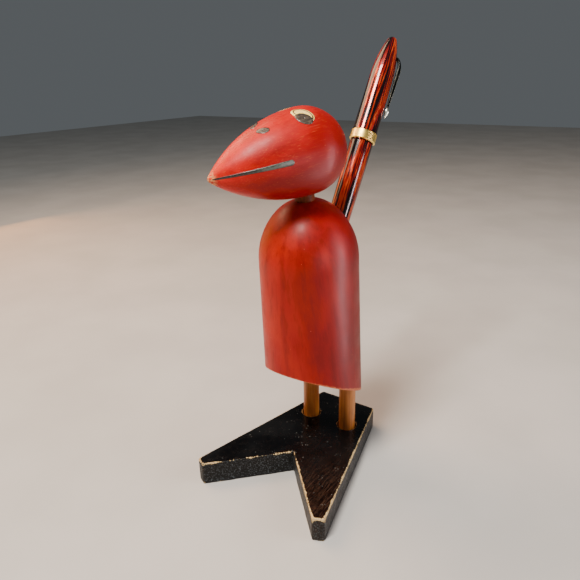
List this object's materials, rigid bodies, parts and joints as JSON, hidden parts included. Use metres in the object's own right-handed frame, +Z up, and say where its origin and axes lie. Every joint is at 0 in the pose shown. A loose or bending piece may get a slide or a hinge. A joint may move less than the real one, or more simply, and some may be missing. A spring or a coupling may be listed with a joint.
{
  "type": "bird pen holder",
  "caption": "Turned-wood bird on dowel legs and an arrowhead foot plate, head on a turning neck peg, slim twist pen standing in an angled socket in its back as the tail.",
  "frame": {"origin": "underside of the foot plate, midway between the two legs", "axes": "+Z up; the bird's toes point along -Y; +X is the bird's left side"},
  "size_m": [0.0586, 0.0957, 0.1636],
  "materials": {
    "black_wood": "satin black paint, worn at the edges",
    "leg_wood": "clear varnished dowel",
    "red_wood": "red stained, satin lacquer",
    "red_wood_head": "red stained, satin lacquer",
    "celluloid": "polished, red and black striated",
    "nose_metal": "polished",
    "brass": "turned",
    "gold_band": "polished gold plate",
    "steel": "turned",
    "refill_plastic": "translucent tube",
    "clip_metal": "polished spring steel"
  },
  "bodies": {
    "stand": {"base_plate": "black_wood", "left_leg": "leg_wood", "right_leg": "leg_wood", "body": "red_wood", "neck_peg": "leg_wood"},
    "head": {"head": "red_wood_head"},
    "pen_barrel": {"lower_barrel": "celluloid", "nose_cone": "nose_metal", "coupling_bush": "brass", "guide_tube": "brass"},
    "pen_cap": {"upper_barrel": "celluloid", "centre_band": "gold_band", "spiral_sleeve": "brass", "clip": "clip_metal"},
    "pen_refill": {"refill_point": "steel", "refill_tube": "refill_plastic", "refill_carrier": "brass", "carrier_pin": "steel"}
  },
  "joints": [
    {"name": "head_turn", "type": "hinge", "parent": "stand", "child": "head", "pos_m": [0, -0.0172, 0.1104], "axis": [0, -0.1908, 0.9816], "continuous": true},
    {"name": "pen_lift", "type": "slide", "parent": "stand", "child": "pen_barrel", "axis": [0.0483, 0.4716, 0.8805], "range_m": [0, 0.06]},
    {"name": "pen_twist", "type": "hinge", "parent": "pen_barrel", "child": "pen_cap", "pos_m": [-0.00217, -0.01762, 0.05388], "axis": [0.0483, 0.4716, 0.8805], "range_deg": [0, 180]},
    {"name": "refill_slide", "type": "slide", "parent": "pen_barrel", "child": "pen_refill", "axis": [-0.0483, -0.4716, -0.8805], "range_m": [0, 0.0026]}
  ],
  "couplings": [
    {"joint": "refill_slide", "follows": "pen_twist", "m_per_rad": 0.000827}
  ]
}
